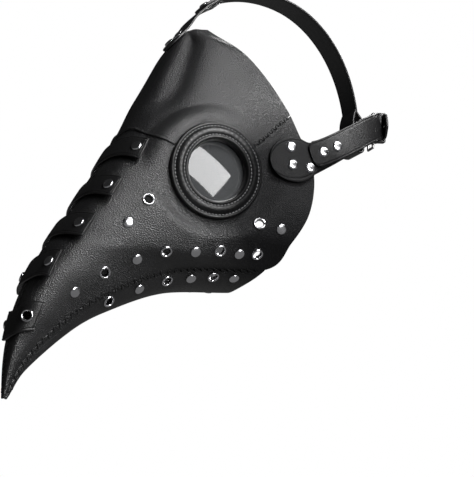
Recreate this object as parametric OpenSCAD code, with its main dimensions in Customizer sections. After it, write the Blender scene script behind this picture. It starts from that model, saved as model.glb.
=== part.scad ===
// Beaked costume mask of sewn and riveted leather panels, with round goggle
// eyes and a head harness that closes with a pin buckle.
// Millimetres, +Z up, +X to the wearer's left, -Y to the wearer's front.
// The origin is midway between the centres of the two lenses.

/* [Leather] */
// Thickness of the leather panels
leather = 2; // [1.6:0.1:2.2]
// Thickness of the straps
strap_t = 2; // [1.8:0.1:2]
// Width of the straps round the head
strap_w = 24; // [20:1:25]
// Width of the crown strap
crown_w = 30; // [26:1:32]

/* [Eyes] */
// Distance of each lens centre from the middle plane
eye_x = 58; // [57:0.5:59]
// Outer radius of the padded eye ring
ring_r = 42; // [40:0.5:43]
// Radius of the opening that the wearer looks through
sight_r = 26.5; // [24:0.5:27]
// Height of the padded ring above the panel
ring_h = 7.5; // [6:0.5:10]
// Thickness of the lens
lens_t = 2; // [1.5:0.1:2.5]

/* [Hardware] */
// Radius of a rivet's domed cap
cap_r = 4.7; // [4:0.1:5]
// Outer radius of an eyelet
eyelet_r = 5.4; // [5:0.1:6]
// Radius of the hole through an eyelet
eyelet_hole = 3.5; // [2.8:0.1:3.8]
// Radius of the buckle's hinge bar
bar_r = 1.25; // [1.2:0.01:1.25]
// Clearance round the hinge bar
bar_gap = 0.05; // [0.02:0.01:0.08]

/* [Hidden] */
$fn = 32;

black = [0.06, 0.06, 0.065];
seam_black = [0.03, 0.03, 0.03];
chrome = [0.8, 0.8, 0.82];
smoke = [0.3, 0.32, 0.34];
seam_gap = 0.4;      // gap between panels that are sewn edge to edge
brow_gap = 0.015;    // the same gap at the brow, in rib steps
fit = 0.4;           // clearance between stacked layers of leather

// ---- The skin -----------------------------------------------------------
// The skin is lofted through ribs. Each rib runs from the middle line to the
// panel's edge as a cubic curve: [middle y, z, handle, cheek x, y, z, edge x, y, z].
// The first three edges follow the temple, then the jaw, the corner and the beak.
RIBS = [
    [  -3,  151,   12,   15,    0,  152,   20,   12,  151],
    [ -20,  129,   28,   46,    8,  124,   51,   38,  117],
    [ -46,   80,   36,   62,    2,   80,   67,   61,   76],
    [ -66,   37,   44,   58,  -34,   44,   71,   74,   50],
    [ -79,   12,   44,   58,  -56,   12,   74,   90,   10],
    [ -96,  -19,   43,   58,  -72,  -20,   73,   86,  -28],
    [-111,  -43,   40,   60,  -80,  -48,   61,   75,  -54],
    [-123,  -62,   37,   62,  -84,  -70,   36,   63,  -74],
    [-134,  -83,   34,   52, -106,  -76,   27,  -20,  -84],
    [-146, -110,   28,   41, -128,  -98,   20,  -80, -110],
    [-156, -143,   19,   27, -147, -132,   13, -121, -141],
    [-161, -175,   10,   13, -157, -169,  5.5, -148, -174],
    [-162, -203,    3,    3, -160, -203,  1.2, -159.5, -203]
];
last_rib = len(RIBS) - 1;
corner_rib = 7;

function blend(a, b, c, d, t) =
    0.5 * (2*b + (c - a)*t + (2*a - 5*b + 4*c - d)*t*t + (3*b - a - 3*c + d)*t*t*t);
function at_index(list, k) =
    let (n = len(list) - 1)
    k < 0 ? 2*list[0] - list[1] : k > n ? 2*list[n] - list[n - 1] : list[k];
function along(list, v) =
    let (i = max(0, min(floor(v), len(list) - 2)), t = v - i)
    blend(at_index(list, i - 1), at_index(list, i), at_index(list, i + 1), at_index(list, i + 2), t);
function mix(a, b, w) = a + (b - a) * w;
function smooth(x) = let (c = max(0, min(1, x))) c * c * (3 - 2*c);
function unit(v) = v / norm(v);

function bare_rib(v, k) =
    let (s = along(RIBS, v), m = [0, s[0], s[1]],
         q = [s[3], s[4], s[5]], e = [s[6], s[7], s[8]], j = 1 - k)
    j*j*j*m + 3*j*j*k*(m + [s[2], 0, 0]) + 3*j*k*k*q + k*k*k*e;

// Each eye looks a little forward, and the skin is flat under its ring.
eye = [eye_x, 0, 0];
eye_yaw = -7;
eye_pitch = 98;
eye_n = [sin(eye_pitch)*cos(eye_yaw), sin(eye_pitch)*sin(eye_yaw), cos(eye_pitch)];
flat_r = 46;
flat_edge = 18;
function flattened(p) =
    let (d = norm([p.y, p.z]), w = smooth((flat_r + flat_edge - d) / flat_edge),
         x = eye.x - (eye_n.y * p.y + eye_n.z * p.z) / eye_n.x)
    [mix(p.x, x, w), p.y, p.z];

// v runs down the ribs, t from -1 (right edge) through 0 (middle) to 1 (left edge)
function skin(v, t) =
    let (p = flattened(bare_rib(v, abs(t))))
    t < 0 ? [-p.x, p.y, p.z] : p;
function skin_n(v, t) =
    let (e = 0.02, v1 = min(v + e, last_rib), v0 = max(v - e, 0))
    unit(cross(skin(v1, t) - skin(v0, t), skin(v, t + e) - skin(v, t - e)));
function over_skin(v, t, h) = skin(v, t) + h * skin_n(v, t);
function left_of_middle(p) = [max(p.x, seam_gap / 2), p.y, p.z];

// The seam over the brow dips to the eye ring and climbs to the temple. Its places
// down the ribs are given at even steps from the middle line to the rear edge.
BROW = [[2.92], [2.9], [2.97], [3.16], [3.4], [3.68], [3.86], [3.94], [3.85], [3.3], [2.6]];
function brow_seam(t) = along(BROW, abs(t) * (len(BROW) - 1))[0];
// The leather is skived thin towards the beak's tip.
function skived(v) = leather * (0.35 + 0.65 * smooth((last_rib - v) / 2));

// ---- Shared solids -------------------------------------------------------
// A closed sheet between two grids of points with the same rows and columns
module sheet(outer, inner) {
    rows = len(outer);
    cols = len(outer[0]);
    n = rows * cols;
    points = concat([for (r = outer) each r], [for (r = inner) each r]);
    top = [for (i = [0:rows-2], j = [0:cols-2])
        each [[i*cols + j, i*cols + j + 1, (i+1)*cols + j + 1],
              [i*cols + j, (i+1)*cols + j + 1, (i+1)*cols + j]]];
    under = [for (f = top) [n + f[0], n + f[2], n + f[1]]];
    rim = concat([for (j = [0:cols-2]) j],
                 [for (i = [0:rows-2]) i*cols + cols - 1],
                 [for (j = [cols-1:-1:1]) (rows-1)*cols + j],
                 [for (i = [rows-1:-1:1]) i*cols]);
    m = len(rim);
    wall = [for (k = [0:m-1]) let (a = rim[k], b = rim[(k+1) % m])
        each [[b, a, n + a], [b, n + a, n + b]]];
    polyhedron(points, concat(top, under, wall), convexity = 8);
}

// A flat band along frames [centre, outward, across, half width], from height h
module band(frames, h, t) {
    sheet([for (f = frames) [for (s = [-1, 0, 1]) f[0] + f[1]*(h + t) + f[2]*s*f[3]]],
          [for (f = frames) [for (s = [-1, 0, 1]) f[0] + f[1]*h + f[2]*s*f[3]]]);
}

// Puts a child's Z axis along n at point p
module stand(p, n) {
    translate(p) rotate([0, acos(n.z / norm(n)), atan2(n.y, n.x)]) children();
}

// Domed rivet: cap on z = 0, shank through `grip` of leather, washer behind
module rivet(grip, r = cap_r) {
    cap_h = 0.43 * r;
    washer_r = 3.4;
    washer_t = 0.8;
    shank_r = 1.4;
    dome = [for (a = [0:15:90]) [r * cos(a), 0.5 + (cap_h - 0.5) * sin(a)]];
    rotate_extrude($fn = 24)
        polygon(concat([[0, -grip - washer_t], [washer_r, -grip - washer_t], [washer_r, -grip],
                        [shank_r, -grip], [shank_r, 0], [r, 0]], dome));
}

// Eyelet: rolled flange on z = 0, barrel through `grip` of leather, collar behind
module eyelet(grip) {
    barrel = eyelet_hole + 0.7;
    roll = (eyelet_r - eyelet_hole) / 2;
    lip = [for (a = [0:30:180]) [eyelet_hole + roll + roll * cos(a), 1.4 * sin(a)]];
    rotate_extrude($fn = 24)
        polygon(concat(lip, [[eyelet_hole, -grip - 0.8], [eyelet_r - 0.6, -grip - 0.8],
                             [eyelet_r - 0.6, -grip], [barrel, -grip], [barrel, 0]]));
}
module eyelet_bore() {
    cylinder(r = eyelet_hole + 0.5, h = 12, center = true);
}

module left_right(side) {
    if (side < 0) mirror([1, 0, 0]) children();
    else children();
}
module at_eye(side) {
    left_right(side) translate(eye) rotate([0, eye_pitch, eye_yaw]) children();
}

// ---- Panels --------------------------------------------------------------
module eye_opening() {
    cylinder(r = sight_r + 2.2, h = 20, center = true, $fn = 64);
}

brow_rows = 14;
brow_cols = 32;
module forehead_panel() {
    function place(i, j, h) =
        let (t = -1 + 2*j/brow_cols, v = (brow_seam(t) - brow_gap) * i/brow_rows)
        over_skin(v, t, h);
    color(black) difference() {
        sheet([for (i = [0:brow_rows]) [for (j = [0:brow_cols]) place(i, j, 0)]],
              [for (i = [0:brow_rows]) [for (j = [0:brow_cols]) place(i, j, -leather)]]);
        for (side = [-1, 1]) at_eye(side) eye_opening();
    }
}

// Hardware on one side panel, as [v, t] places on the skin
PANEL_EYELETS = [[5.44, 0.56], [8.66, 0.83], [7.34, 0.76], [6.72, 0.85], [6.56, 0.94], [5.58, 0.91]];
PANEL_RIVETS = [[6.36, 0.52], [9.3, 0.83], [8.06, 0.83], [6.98, 0.8], [6.68, 0.9], [5.64, 0.96]];

side_rows = 30;
side_cols = 12;
module side_panel(side) {
    function place(i, j, h) =
        let (t = 0.004 + 0.996*j/side_cols, top = brow_seam(t) + brow_gap,
             v = top + (last_rib - top) * i/side_rows)
        left_of_middle(over_skin(v, t, -h * skived(v)));
    color(black) left_right(side) difference() {
        sheet([for (i = [0:side_rows]) [for (j = [0:side_cols]) place(i, j, 0)]],
              [for (i = [0:side_rows]) [for (j = [0:side_cols]) place(i, j, 1)]]);
        at_eye(1) eye_opening();
        for (p = PANEL_EYELETS) stand(skin(p[0], p[1]), skin_n(p[0], p[1])) eyelet_bore();
        bridge_spot(4, 1) eyelet_bore();
    }
}

// The gusset closes the underside between the two lower seams and sags between them.
function gusset(v, s, h) =
    let (e = 0.02, f = along(RIBS, v), edge = [f[6], f[7], f[8]],
         a = along(RIBS, max(v - e, corner_rib)), b = along(RIBS, min(v + e, last_rib)),
         run = unit([b[7] - a[7], b[8] - a[8]]), down = [0, -run[1], run[0]],
         sag = 14 * (1 - exp(-edge.x / 8)) * (1 - 0.3 * smooth(corner_rib + 1 - v)),
         slope = 2 * sag * s / edge.x)
    [edge.x * s, edge.y, edge.z] + down * sag * (1 - s*s) + h * unit(down + [slope, 0, 0]);
// Its rear edge is cut hollow, for the wearer's throat.
function gusset_start(s) = corner_rib + 0.2 * (1 - s*s);
gusset_rows = 20;
gusset_cols = 8;
GUSSET_EYELETS = [[7.58, 0.8], [8.1, 0.74], [9, 0.72]];
GUSSET_RIVETS = [[7.36, 0.77], [7.8, 0.74], [8.5, 0.71]];
module on_gusset(p, side) {
    stand(gusset(p[0], side * p[1], 0), gusset(p[0], side * p[1], 1) - gusset(p[0], side * p[1], 0))
        children();
}
module beak_gusset() {
    function place(i, j, h) =
        let (s = 1 - 2*j/gusset_cols, start = gusset_start(s),
             v = start + (last_rib - start) * i/gusset_rows)
        gusset(v, s, -h * skived(v));
    color(black) difference() {
        sheet([for (i = [0:gusset_rows]) [for (j = [0:gusset_cols]) place(i, j, 0)]],
              [for (i = [0:gusset_rows]) [for (j = [0:gusset_cols]) place(i, j, 1)]]);
        for (side = [-1, 1], p = GUSSET_EYELETS) on_gusset(p, side) eyelet_bore();
    }
}

module panel_rivets(side) {
    color(chrome) left_right(side) for (p = PANEL_RIVETS)
        stand(skin(p[0], p[1]), skin_n(p[0], p[1])) rivet(leather);
}
module panel_eyelets(side) {
    color(chrome) left_right(side) for (p = PANEL_EYELETS)
        stand(skin(p[0], p[1]), skin_n(p[0], p[1])) eyelet(leather);
}
module gusset_rivets() {
    color(chrome) for (side = [-1, 1], p = GUSSET_RIVETS) on_gusset(p, side) rivet(leather);
}
module gusset_eyelets() {
    color(chrome) for (side = [-1, 1], p = GUSSET_EYELETS) on_gusset(p, side) eyelet(leather);
}

// ---- Eyes ----------------------------------------------------------------
// Padded ring on the panel with a sleeve that lines the panel's round opening
module eye_ring(side) {
    wall = 1.4;
    mid = (ring_r + sight_r + wall) / 2;
    half = (ring_r - sight_r - wall) / 2;
    roll = [for (a = [0:15:180]) [mid + half * cos(a), 1.6 + (ring_h - 1.6) * pow(sin(a), 0.8)]];
    color(black) at_eye(side) rotate_extrude($fn = 72)
        polygon(concat([[ring_r, 0.3]], roll,
                       [[sight_r, 4], [sight_r, -leather], [sight_r + wall, -leather],
                        [sight_r + wall, 0.3]]));
}
module lens(side) {
    color(smoke) at_eye(side) translate([0, 0, -leather - lens_t - 0.2])
        cylinder(r = sight_r + 4, h = lens_t, $fn = 72);
}
// Moulded ring behind the panel that holds the lens in its rebate
module lens_retainer(side) {
    seat_r = sight_r + 4.2;
    back = -leather - lens_t - 0.4;
    color(seam_black) at_eye(side) rotate_extrude($fn = 72)
        polygon([[seat_r, -leather - 0.3], [seat_r + 5, -leather - 0.3], [seat_r + 5, back - 1.6],
                 [sight_r + 1, back - 1.6], [sight_r + 1, back], [seat_r, back]]);
}

// ---- Straps over the bridge of the beak ----------------------------------
// [place down the ribs, reach either side, rivet place, width, how far the stiff
// strap stands off the panels at its ends, how much it bows down the beak toward its ends]
BRIDGE = [[3.92, 0.427, 0.362, 21.5, 3.5, 2.0],
          [5.16, 0.392, 0.327, 21, 6, 2.2],
          [6.78, 0.354, 0.284, 23.5, 7, 2.4],
          [8.56, 0.424, 0.334, 26, 6.5, 1.7],
          [9.98, 0.66, 0.46, 26, 2.5, 0]];
function bridge_lifted(b, t) = fit + b[4] * pow(abs(t) / b[1], 2);
function bridge_v(b, t) = b[0] + b[5] * (t*t - b[2]*b[2]);
function bridge_centre(b, t) = over_skin(bridge_v(b, t), t, bridge_lifted(b, t));
// The strap's ends run parallel to the ridge.
function bridge_frame(b, t) =
    let (n = skin_n(bridge_v(b, t), t), ridge = skin(b[0] - 0.05, 0) - skin(b[0] + 0.05, 0),
         across = unit(ridge - n * (ridge * n)),
         run = bridge_centre(b, t + 0.02) - bridge_centre(b, t - 0.02))
    [bridge_centre(b, t), unit(cross(run, across)), across, b[3] / 2];
// A child on the underside of strap k, at its left (1) or right (-1) fixing place
module bridge_spot(k, side) {
    f = bridge_frame(BRIDGE[k], side * BRIDGE[k][2]);
    stand(f[0], f[1]) children();
}
bridge_steps = 12;
module bridge_strap(k) {
    b = BRIDGE[k];
    color(black) difference() {
        band([for (i = [0:bridge_steps]) bridge_frame(b, b[1] * (2*i/bridge_steps - 1))], 0, strap_t);
        if (k == 4) for (side = [-1, 1]) bridge_spot(k, side) eyelet_bore();
    }
}
// Rivets hold the upper four straps; the lowest, nearest the tip, is held by eyelets.
module bridge_strap_rivets() {
    color(chrome) for (k = [0:4], side = [-1, 1])
        bridge_spot(k, side) translate([0, 0, strap_t]) {
            grip = strap_t + bridge_lifted(BRIDGE[k], BRIDGE[k][2]) + leather;
            if (k == 4) eyelet(grip);
            else rivet(grip);
        }
}

// ---- Harness -------------------------------------------------------------
// The buckle sits in its own frame behind the head, left of the middle:
// X along the strap, Y across it, Z away from the head.
buckle_at = [36, 178, 79];
buckle_turn = 155.5;
buckle_tilt = 14;
strap_h = strap_t + 2*fit;           // the overlaid strap rides on the tab
buckle_run = 34;                     // straight stretch each side of the hinge bar
run_dir = [cos(buckle_turn)*cos(buckle_tilt), sin(buckle_turn)*cos(buckle_tilt), sin(buckle_tilt)];
run_out = unit([run_dir.y, -run_dir.x, 0]);
module at_buckle() {
    translate(buckle_at + run_out * (strap_h + strap_t/2))
        rotate([0, 0, buckle_turn]) rotate([0, -buckle_tilt, 0]) rotate([90, 0, 0]) children();
}
// Route of the harness on the left of the head, chosen by hand
SIDE = [[68, 49, 11], [72.6, 66, 17], [75, 84, 22], [78.6, 103, 31], [80, 124, 44], [76, 146, 59]];
LEFT = concat(SIDE, [buckle_at - buckle_run*run_dir, buckle_at - buckle_run/2*run_dir,
               buckle_at]);
// The right strap's route is written as seen in the mirror
meet = buckle_at + buckle_run*run_dir;
RIGHT = concat(SIDE, [[66, 164, 70], [47, 180, 80], [22, 190, 86], [-meet.x, meet.y, meet.z]]);

function route_frame(route, s, half) =
    let (e = 0.05, a = along(route, max(s - e, 0)), b = along(route, min(s + e, len(route) - 1)),
         run = unit(b - a), out = unit([run.y, -run.x, 0]))
    [along(route, s), out, cross(out, run), half];

// The tab ends in a round paddle on the panel and narrows to the strap behind it.
paddle_r = 21;
tab_end = 3.55;
function paddle_half(s) =
    let (d = s * 17.5, least = d < paddle_r ? 1 : strap_w/2)
    max(least, sqrt(max(0, pow(paddle_r, 2) - pow(paddle_r - d, 2))));
module side_tab(side) {
    steps = 34;
    color(black) left_right(side)
        band([for (i = [0:steps]) let (s = tab_end * pow(i/steps, 1.4))
                route_frame(SIDE, s, paddle_half(s))], fit, strap_t);
}
TAB_RIVETS = [[70, 29], [67, 12.5], [82, 12]];
module side_tab_rivets(side) {
    f = route_frame(SIDE, 1.3, 1);
    color(chrome) left_right(side) for (p = TAB_RIVETS) {
        s = (p[0] - 49) / 17.6;
        g = route_frame(SIDE, s, 1);
        c = g[0] + g[1]*(fit + strap_t) + g[2]*(p[1] - g[0].z) / g[2].z;
        stand(c, f[1]) rivet(leather + strap_t + 2*fit);
    }
}

strap_start = 2.05;
function strap_half(s) =
    let (d = (s - strap_start) * 20, corner = 7)
    d < corner ? strap_w/2 - corner + sqrt(max(0, corner*corner - pow(corner - d, 2))) : strap_w/2;
module strap_ribbon(route, drop) {
    steps = 40;
    end = len(route) - 1;
    color(black) band([for (i = [0:steps])
        let (s = strap_start + (end - strap_start) * pow(i/steps, 1.25),
             f = route_frame(route, s, strap_half(s)))
        [f[0] - f[1]*drop*smooth((s - end + 2) / 1.6), f[1], f[2], f[3]]], strap_h, strap_t);
}
module back_strap_rivets(side) {
    color(chrome) left_right(side) for (s = [2.65, 3.3]) {
        f = route_frame(SIDE, s, 1);
        stand(f[0] + f[1]*(strap_h + strap_t), f[1]) rivet(strap_h + strap_t - fit);
    }
}

// Left strap: folded round the buckle's hinge bar and back on itself
fold_r = bar_r + bar_gap + strap_t;
module back_strap_left() {
    fold_back = -30;
    strap_ribbon([for (i = [0:6]) LEFT[i]], 0);
    color(black) at_buckle() difference() {
        union() {
            rotate([90, 0, 0]) linear_extrude(strap_w, center = true)
                polygon([[0, -fold_r], [0, fold_r], [fold_back, fold_r], [-36, strap_t/2],
                         [-36, -strap_t/2], [fold_back, -fold_r]]);
            rotate([90, 0, 0]) cylinder(r = fold_r, h = strap_w, center = true);
        }
        rotate([90, 0, 0]) cylinder(r = bar_r + bar_gap, h = strap_w + 1, center = true);
        translate([4, 0, 0]) cube([16, 6, 20], center = true);
    }
}

// Right strap: its end runs under the buckle's rim, up through the frame and
// over the fold, with a long slot for the prong
rim_x = 24;
tail_low = -bar_r - fit - strap_t;
over_fold = fold_r + fit;
tail_end = -46;
prong_slot = 4.6;
module back_strap_right() {
    mirror([1, 0, 0]) strap_ribbon(RIGHT, -tail_low - strap_t/2);
    color(black) at_buckle() difference() {
        rotate([90, 0, 0]) linear_extrude(strap_w - 1, center = true)
            polygon([[buckle_run + 1, tail_low], [buckle_run + 1, tail_low + strap_t],
                     [rim_x - 3, tail_low + strap_t], [5, over_fold + strap_t],
                     [tail_end, over_fold + strap_t], [tail_end, over_fold],
                     [4, over_fold], [rim_x - 4, tail_low]]);
        translate([10.5, 0, 0]) cube([15, prong_slot, 30], center = true);
        for (side = [-1, 1]) translate([tail_end, side * strap_w/2, 0])
            rotate([0, 0, side * 35]) cube([24, 12, 30], center = true);
    }
}

module strap_keeper() {
    wall = 1.6;
    keeper_w = 9;
    high = over_fold + strap_t + fit;
    low = -fold_r - fit;
    inner_y = strap_w + 2*fit;
    color(black) at_buckle() translate([-19, 0, (high + low)/2]) difference() {
        cube([keeper_w, inner_y + 2*wall, high - low + 2*wall], center = true);
        cube([keeper_w + 1, inner_y, high - low], center = true);
    }
}

frame_half = 16;
module buckle_frame() {
    rod = 2*bar_r;
    color(chrome) at_buckle() {
        rotate([90, 0, 0]) cylinder(r = bar_r, h = 2*frame_half, center = true);
        translate([rim_x, 0, 0]) rotate([90, 0, 0])
            cylinder(r = bar_r, h = 2*frame_half, center = true);
        for (side = [-1, 1]) translate([rim_x/2, side * frame_half, 0]) {
            rotate([0, 90, 0]) cylinder(r = bar_r, h = rim_x, center = true);
            for (end = [-1, 1]) translate([end * rim_x/2, 0, 0]) sphere(r = bar_r);
        }
    }
}

prong_r = 0.9;
prong_w = 3.6;
module buckle_prong() {
    lift = bar_r + prong_r + 0.1;
    lean = atan2(lift, rim_x);
    color(chrome) at_buckle() difference() {
        union() {
            rotate([90, 0, 0]) cylinder(r = bar_r + bar_gap + 1.3, h = prong_w, center = true);
            rotate([0, 90 - lean, 0]) cylinder(r = prong_r, h = rim_x + 2.5, $fn = 24);
            rotate([0, 90 - lean, 0]) translate([0, 0, rim_x + 2.5]) sphere(r = prong_r);
        }
        rotate([90, 0, 0]) cylinder(r = bar_r + bar_gap, h = prong_w + 1, center = true);
    }
}

// Crown: a riveted tab on the forehead, then a strap over the top of the head
// that ends in a loop round the back strap
crown_mid = [0, 85, 98];
crown_span = [102, 106];
loop_x = -12;
function crown_route(a) =
    [loop_x * smooth((a - 100) / 75), crown_mid.y - crown_span[0]*cos(a),
     crown_mid.z + crown_span[1]*sin(a)];
function crown_frame(a, half) =
    let (run = unit(crown_route(a + 1) - crown_route(a - 1)), out = unit(cross([1, 0, 0], run)))
    [crown_route(a), out, cross(out, run), half];
// On the forehead the tab follows the panel from v = 1 up to its top edge
function tab_frame(v, half) = [skin(v, 0), skin_n(v, 0), [-1, 0, 0], half];
tab_foot = 0.95;
module crown_tab() {
    foot = [for (i = [0:8]) let (d = i/8, v = tab_foot * (1 - pow(d, 1.3)),
                 run = (tab_foot - v) * 33)
            tab_frame(v, run < crown_w/2
                ? sqrt(max(4, pow(crown_w/2, 2) - pow(crown_w/2 - run, 2))) : crown_w/2)];
    rise = [for (a = [38:6:62]) crown_frame(a, crown_w/2)];
    color(black) band(concat(foot, rise), fit, strap_t);
}
CROWN_RIVETS = [[0.12, 0], [0.5, -1], [0.5, 1]];
module crown_tab_rivets() {
    color(chrome) for (p = CROWN_RIVETS) {
        f = tab_frame(p[0], 1);
        stand(f[0] + f[2]*p[1]*8 + f[1]*(fit + strap_t), f[1]) rivet(leather + strap_t + fit);
    }
}
module crown_strap() {
    steps = 26;
    strap_from = 48;
    half = strap_w/2;
    loop_z = [73, 105];
    loop_y = [186.5, 196];
    color(black) {
        band([for (i = [0:steps]) crown_frame(strap_from + (172 - strap_from) * i/steps,
                i == 0 ? half - 3 : half)], strap_h, strap_t);
        translate([loop_x, 0, 0]) rotate([90, 0, 90]) linear_extrude(strap_w, center = true)
            difference() {
                polygon([[loop_y[0] - strap_t, loop_z[0] - strap_t],
                         [loop_y[1] + strap_t, loop_z[0] - strap_t],
                         [loop_y[1] + strap_t, loop_z[1]], [190.5, loop_z[1] + 12],
                         [187, loop_z[1] + 11], [loop_y[0] - strap_t, loop_z[1]]]);
                polygon([[loop_y[0], loop_z[0]], [loop_y[1], loop_z[0]],
                         [loop_y[1], loop_z[1] - 2], [loop_y[0] + 3, loop_z[1] + 3],
                         [loop_y[0], loop_z[1] - 1]]);
            }
    }
}
module crown_strap_rivets() {
    color(chrome) for (a = [52, 59]) {
        f = crown_frame(a, 1);
        stand(f[0] + f[1]*(strap_h + strap_t), f[1]) rivet(strap_h + strap_t - fit);
    }
}

forehead_panel();
side_panel(1);  // side_panel_left
side_panel(-1);  // side_panel_right
beak_gusset();
eye_ring(1);  // eye_ring_left
eye_ring(-1);  // eye_ring_right
lens(1);  // lens_left
lens(-1);  // lens_right
lens_retainer(1);  // lens_retainer_left
lens_retainer(-1);  // lens_retainer_right
for (k = [0:4]) bridge_strap(k);
bridge_strap_rivets();
panel_rivets(1);  // panel_rivets_left
panel_rivets(-1);  // panel_rivets_right
panel_eyelets(1);  // panel_eyelets_left
panel_eyelets(-1);  // panel_eyelets_right
gusset_rivets();
gusset_eyelets();
side_tab(1);  // side_tab_left
side_tab(-1);  // side_tab_right
side_tab_rivets(1);  // side_tab_rivets_left
side_tab_rivets(-1);  // side_tab_rivets_right
crown_tab();
crown_tab_rivets();
crown_strap();
crown_strap_rivets();
back_strap_left();
back_strap_right();
back_strap_rivets(1);  // back_strap_rivets_left
back_strap_rivets(-1);  // back_strap_rivets_right
strap_keeper();
buckle_frame();
buckle_prong();
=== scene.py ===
"""Looks of the beaked leather mask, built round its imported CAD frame. Sizes are in millimetres
until a mesh is made, and the skin is lofted from the same ribs as the CAD part."""

import math

import bpy
import numpy as np
from mathutils import Matrix, Vector


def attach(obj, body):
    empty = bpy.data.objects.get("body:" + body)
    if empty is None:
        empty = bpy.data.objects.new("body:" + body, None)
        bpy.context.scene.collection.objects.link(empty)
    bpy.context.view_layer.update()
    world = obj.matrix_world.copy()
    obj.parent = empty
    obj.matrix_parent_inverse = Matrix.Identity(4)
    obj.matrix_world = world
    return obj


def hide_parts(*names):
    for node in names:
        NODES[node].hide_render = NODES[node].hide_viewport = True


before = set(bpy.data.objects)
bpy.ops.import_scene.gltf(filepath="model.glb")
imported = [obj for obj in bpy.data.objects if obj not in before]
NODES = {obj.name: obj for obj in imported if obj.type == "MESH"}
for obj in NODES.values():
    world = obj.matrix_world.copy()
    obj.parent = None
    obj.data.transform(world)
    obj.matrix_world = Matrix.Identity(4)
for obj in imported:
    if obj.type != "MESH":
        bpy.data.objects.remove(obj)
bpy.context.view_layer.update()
MM = 0.001
SIDES = {1: "left", -1: "right"}   # the wearer's own left is +X

# ---- The design's own numbers, as in the CAD part ----
LEATHER = 2.0
STRAP_T = 2.0
STRAP_W = 24.0
CROWN_W = 30.0
FIT = 0.4
SEAM_GAP = 0.4
EYE_X = 58.0
EYE_YAW = -7.0
EYE_PITCH = 98.0
RING_R = 42.0
FLAT_R = 46.0   # round each eye the panel is flat to here, and blends into the skin over FLAT_EDGE
FLAT_EDGE = 18.0
SIGHT_R = 26.5
CAP_R = 4.7
EYELET_R = 5.4
EYELET_HOLE = 3.5

# Ribs from the brow's top to the beak's tip. Each holds y and z on the middle line, how far a curve
# leaves it sideways, then x, y and z of a point it bends towards and of the panel's edge.
RIBS = np.array([
    [-3, 151, 12, 15, 0, 152, 20, 12, 151],
    [-20, 129, 28, 46, 8, 124, 51, 38, 117],
    [-46, 80, 36, 62, 2, 80, 67, 61, 76],
    [-66, 37, 44, 58, -34, 44, 71, 74, 50],
    [-79, 12, 44, 58, -56, 12, 74, 90, 10],
    [-96, -19, 43, 58, -72, -20, 73, 86, -28],
    [-111, -43, 40, 60, -80, -48, 61, 75, -54],
    [-123, -62, 37, 62, -84, -70, 36, 63, -74],
    [-134, -83, 34, 52, -106, -76, 27, -20, -84],
    [-146, -110, 28, 41, -128, -98, 20, -80, -110],
    [-156, -143, 19, 27, -147, -132, 13, -121, -141],
    [-161, -175, 10, 13, -157, -169, 5.5, -148, -174],
    [-162, -203, 3, 3, -160, -203, 1.2, -159.5, -203],
], float)
LAST = len(RIBS) - 1
CORNER = 7   # the rib where the gusset starts

# Places on the skin are (v, t): v counts ribs, and t runs from 0 on the middle line to 1 at the edge.
# BROW is v along the brow seam at even steps of t.
BROW = [2.92, 2.9, 2.97, 3.16, 3.4, 3.68, 3.86, 3.94, 3.85, 3.3, 2.6]
PANEL_EYELETS = [(5.44, 0.56), (8.66, 0.83), (7.34, 0.76), (6.72, 0.85), (6.56, 0.94), (5.58, 0.91)]
PANEL_RIVETS = [(6.36, 0.52), (9.3, 0.83), (8.06, 0.83), (6.98, 0.8), (6.68, 0.9), (5.64, 0.96)]
GUSSET_EYELETS = [(7.58, 0.8), (8.1, 0.74), (9, 0.72)]
GUSSET_RIVETS = [(7.36, 0.77), (7.8, 0.74), (8.5, 0.71)]

# Bridge straps from the top: v, t of the end, t of the fixing, width, lift of the end off the panel,
# and how many ribs the strap bows down the beak.
BRIDGE = [(3.92, 0.427, 0.362, 21.5, 3.5, 2.0),
          (5.16, 0.392, 0.327, 21, 6, 2.2),
          (6.78, 0.354, 0.284, 23.5, 7, 2.4),
          (8.56, 0.424, 0.334, 26, 6.5, 1.7),
          (9.98, 0.66, 0.46, 26, 2.5, 0)]


# ---- Curves and the skin ----
def smooth(x):
    c = np.clip(x, 0.0, 1.0)
    return c * c * (3 - 2 * c)


def unit(v):
    v = np.asarray(v, float)
    return v / np.linalg.norm(v, axis=-1, keepdims=True)


def along(table, v):
    """Catmull-Rom curve through the rows of table, at places v counted in rows."""
    table = np.asarray(table, float)
    v = np.asarray(v, float)
    last = len(table) - 1
    padded = np.vstack([2 * table[0] - table[1], table, 2 * table[last] - table[last - 1]])
    i = np.clip(np.floor(v).astype(int), 0, last - 1)
    t = (v - i)[..., None]
    a, b, c, d = (padded[i + k] for k in range(4))
    return 0.5 * (2 * b + (c - a) * t + (2 * a - 5 * b + 4 * c - d) * t**2
                  + (3 * b - a - 3 * c + d) * t**3)


def eye_axes():
    pitch, yaw = math.radians(EYE_PITCH), math.radians(EYE_YAW)
    out = np.array([math.sin(pitch) * math.cos(yaw), math.sin(pitch) * math.sin(yaw), math.cos(pitch)])
    across = unit(np.cross([0, 0, 1], out))
    return across, np.cross(out, across), out


def bell(x, middle, width):
    return np.exp(-((x - middle) / width) ** 2)


def eye_zone(p):
    """1 where the panel is flat under the eye ring, falling to 0 round it."""
    return smooth((FLAT_R + FLAT_EDGE - np.hypot(p[..., 1], p[..., 2])) / FLAT_EDGE)


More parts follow.
